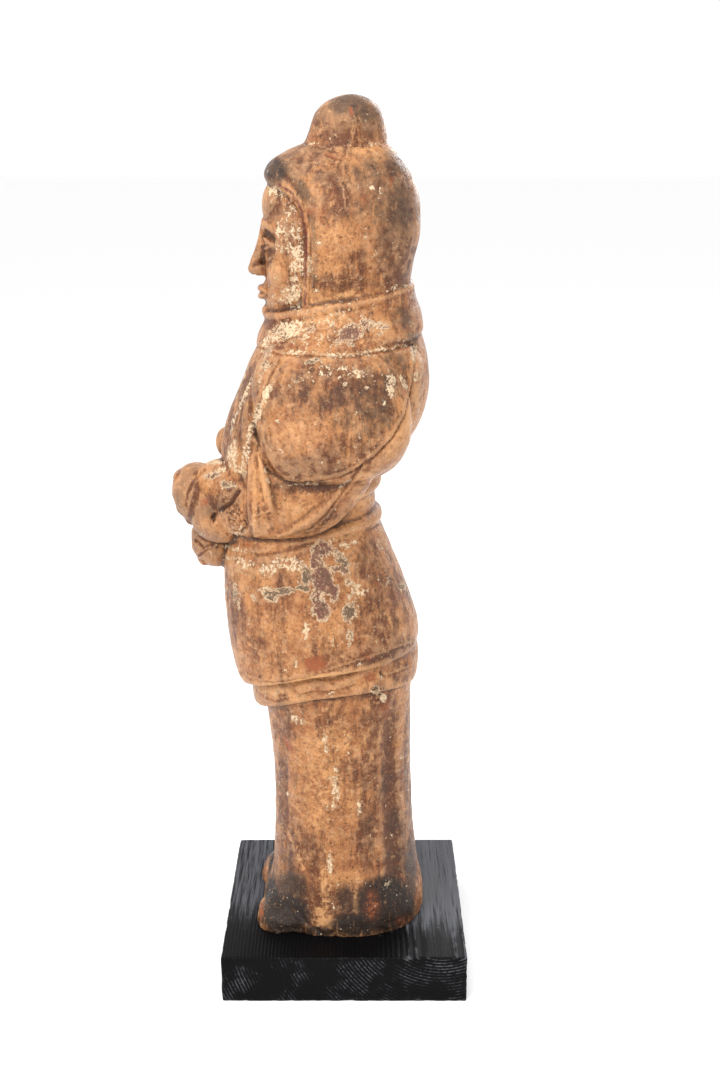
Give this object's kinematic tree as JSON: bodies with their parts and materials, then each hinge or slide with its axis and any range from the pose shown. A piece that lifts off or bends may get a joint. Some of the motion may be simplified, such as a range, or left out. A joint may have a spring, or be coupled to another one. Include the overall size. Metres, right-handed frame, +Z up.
{
  "type": "pottery guardian figure",
  "caption": "Standing hooded guardian figure of fired clay with closed hands, on a square board plinth.",
  "frame": {"origin": "middle of the plinth's underside", "axes": "+Z up, the figure faces -Y, and its left arm is at +X"},
  "size_m": [0.19, 0.2257, 0.6751],
  "materials": {
    "fired_clay": "unglazed brown fired clay with worn cream slip, traces of dark red paint and soot",
    "black_painted_wood": "softwood painted matt black, its grain still showing"
  },
  "bodies": {
    "root": {"guardian_figure": "fired_clay", "plinth": "black_painted_wood"}
  },
  "joints": []
}
